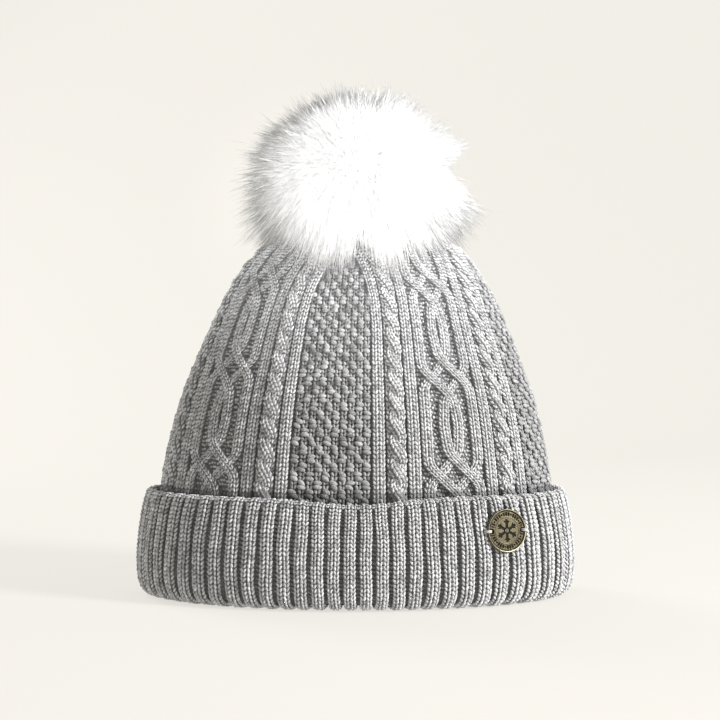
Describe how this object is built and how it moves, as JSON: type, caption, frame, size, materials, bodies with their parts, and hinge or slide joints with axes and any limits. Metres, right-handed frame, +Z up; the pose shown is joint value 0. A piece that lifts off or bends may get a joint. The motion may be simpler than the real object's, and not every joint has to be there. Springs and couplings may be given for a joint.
{
  "type": "pom pom beanie",
  "caption": "Cable-knit beanie with a turned-up rib cuff, a round metal badge, a fleece ear band and a removable faux fur pom pom on a snap.",
  "frame": {"origin": "on the floor under the middle of the cuff", "axes": "+Z up through the crown to the pom, -Y to the front with the badge, +X across the front"},
  "size_m": [0.218, 0.1304, 0.252],
  "materials": {
    "knit_yarn": "matte",
    "seam_yarn": "matte",
    "fleece": "matte",
    "felt": "matte",
    "snap_brass": "satin",
    "spring_wire": "satin",
    "badge_brass": "satin",
    "thread": "satin",
    "filling": "matte",
    "pelt": "matte",
    "fur": "satin",
    "satin": "satin"
  },
  "bodies": {
    "hat": {"knit_crown": "knit_yarn", "rib_band": "knit_yarn", "fleece_ear_band": "fleece", "back_seam": "seam_yarn", "crown_gather_yarn": "seam_yarn", "crown_backing_disc": "felt", "snap_cap": "snap_brass", "snap_stud": "snap_brass"},
    "cuff": {"rib_cuff": "knit_yarn", "badge_disc": "badge_brass", "badge_thread_left": "thread", "badge_thread_right": "thread"},
    "snap_spring": {"snap_ring_spring": "spring_wire"},
    "pom_base": {"snap_socket": "snap_brass", "socket_cap": "snap_brass", "pom_base_disc": "felt"},
    "pom_ball": {"pom_core": "filling", "pom_pelt": "pelt", "pom_drawstring": "thread", "pom_fur": "fur"},
    "label": {"care_label": "satin"}
  },
  "joints": [
    {"name": "cuff_roll_down", "type": "slide", "parent": "hat", "child": "cuff", "axis": [0, 0, 1], "range_m": [-0.044, 0]},
    {"name": "pom_pull_off", "type": "slide", "parent": "hat", "child": "snap_spring", "axis": [0, 0, 1], "range_m": [0, 0.05]},
    {"name": "pom_spin", "type": "hinge", "parent": "snap_spring", "child": "pom_base", "pos_m": [0.003, 0, 0.18275], "axis": [0, 0, 1], "continuous": true},
    {"name": "pom_nod", "type": "hinge", "parent": "pom_base", "child": "pom_ball", "pos_m": [0.003, 0, 0.1877], "axis": [1, 0, 0], "range_deg": [-7, 7], "stiffness_Nm_per_rad": 0.3},
    {"name": "label_flip", "type": "hinge", "parent": "hat", "child": "label", "pos_m": [0.0008, 0.0452, 0.07], "axis": [0, 0, 1], "range_deg": [-60, 60]}
  ]
}
